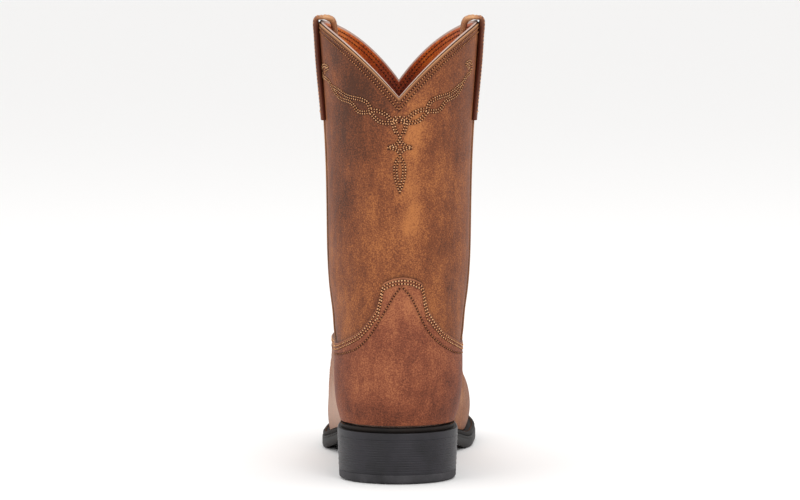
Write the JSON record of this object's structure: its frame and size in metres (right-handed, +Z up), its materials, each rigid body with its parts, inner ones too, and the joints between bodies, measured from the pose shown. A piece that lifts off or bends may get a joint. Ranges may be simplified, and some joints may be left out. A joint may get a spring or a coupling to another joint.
{
  "type": "roper boot",
  "caption": "Pull-on leather roper boot for the left foot, hollow shaft with V-dipped collar, stitched counter and vamp, pull straps, rubber sole and low block heel.",
  "frame": {"origin": "centre of the heel's resting face, on the floor", "axes": "+X to the medial side of this left boot, +Y from heel to toe, +Z up"},
  "size_m": [0.1084, 0.3011, 0.2904],
  "materials": {
    "shaft_leather": "mottled oiled leather, brown with rubbed lighter patches",
    "foot_leather": "smooth oiled leather, redder brown, burnished",
    "seam_leather": "tan leather piping",
    "strap_leather": "folded oiled leather with pale cut edges",
    "sole_rubber": "black moulded rubber, matte with worn grey edges",
    "insole_board": "vegetable tanned insole leather"
  },
  "bodies": {
    "root": {"top_lift": "sole_rubber", "heel": "sole_rubber", "outsole": "sole_rubber", "welt": "sole_rubber", "insole": "insole_board", "upper": "shaft_leather", "counter": "foot_leather", "vamp": "foot_leather", "side_seam_lateral": "seam_leather", "side_seam_medial": "seam_leather", "pull_strap_lateral": "strap_leather", "pull_strap_medial": "strap_leather"}
  },
  "joints": []
}
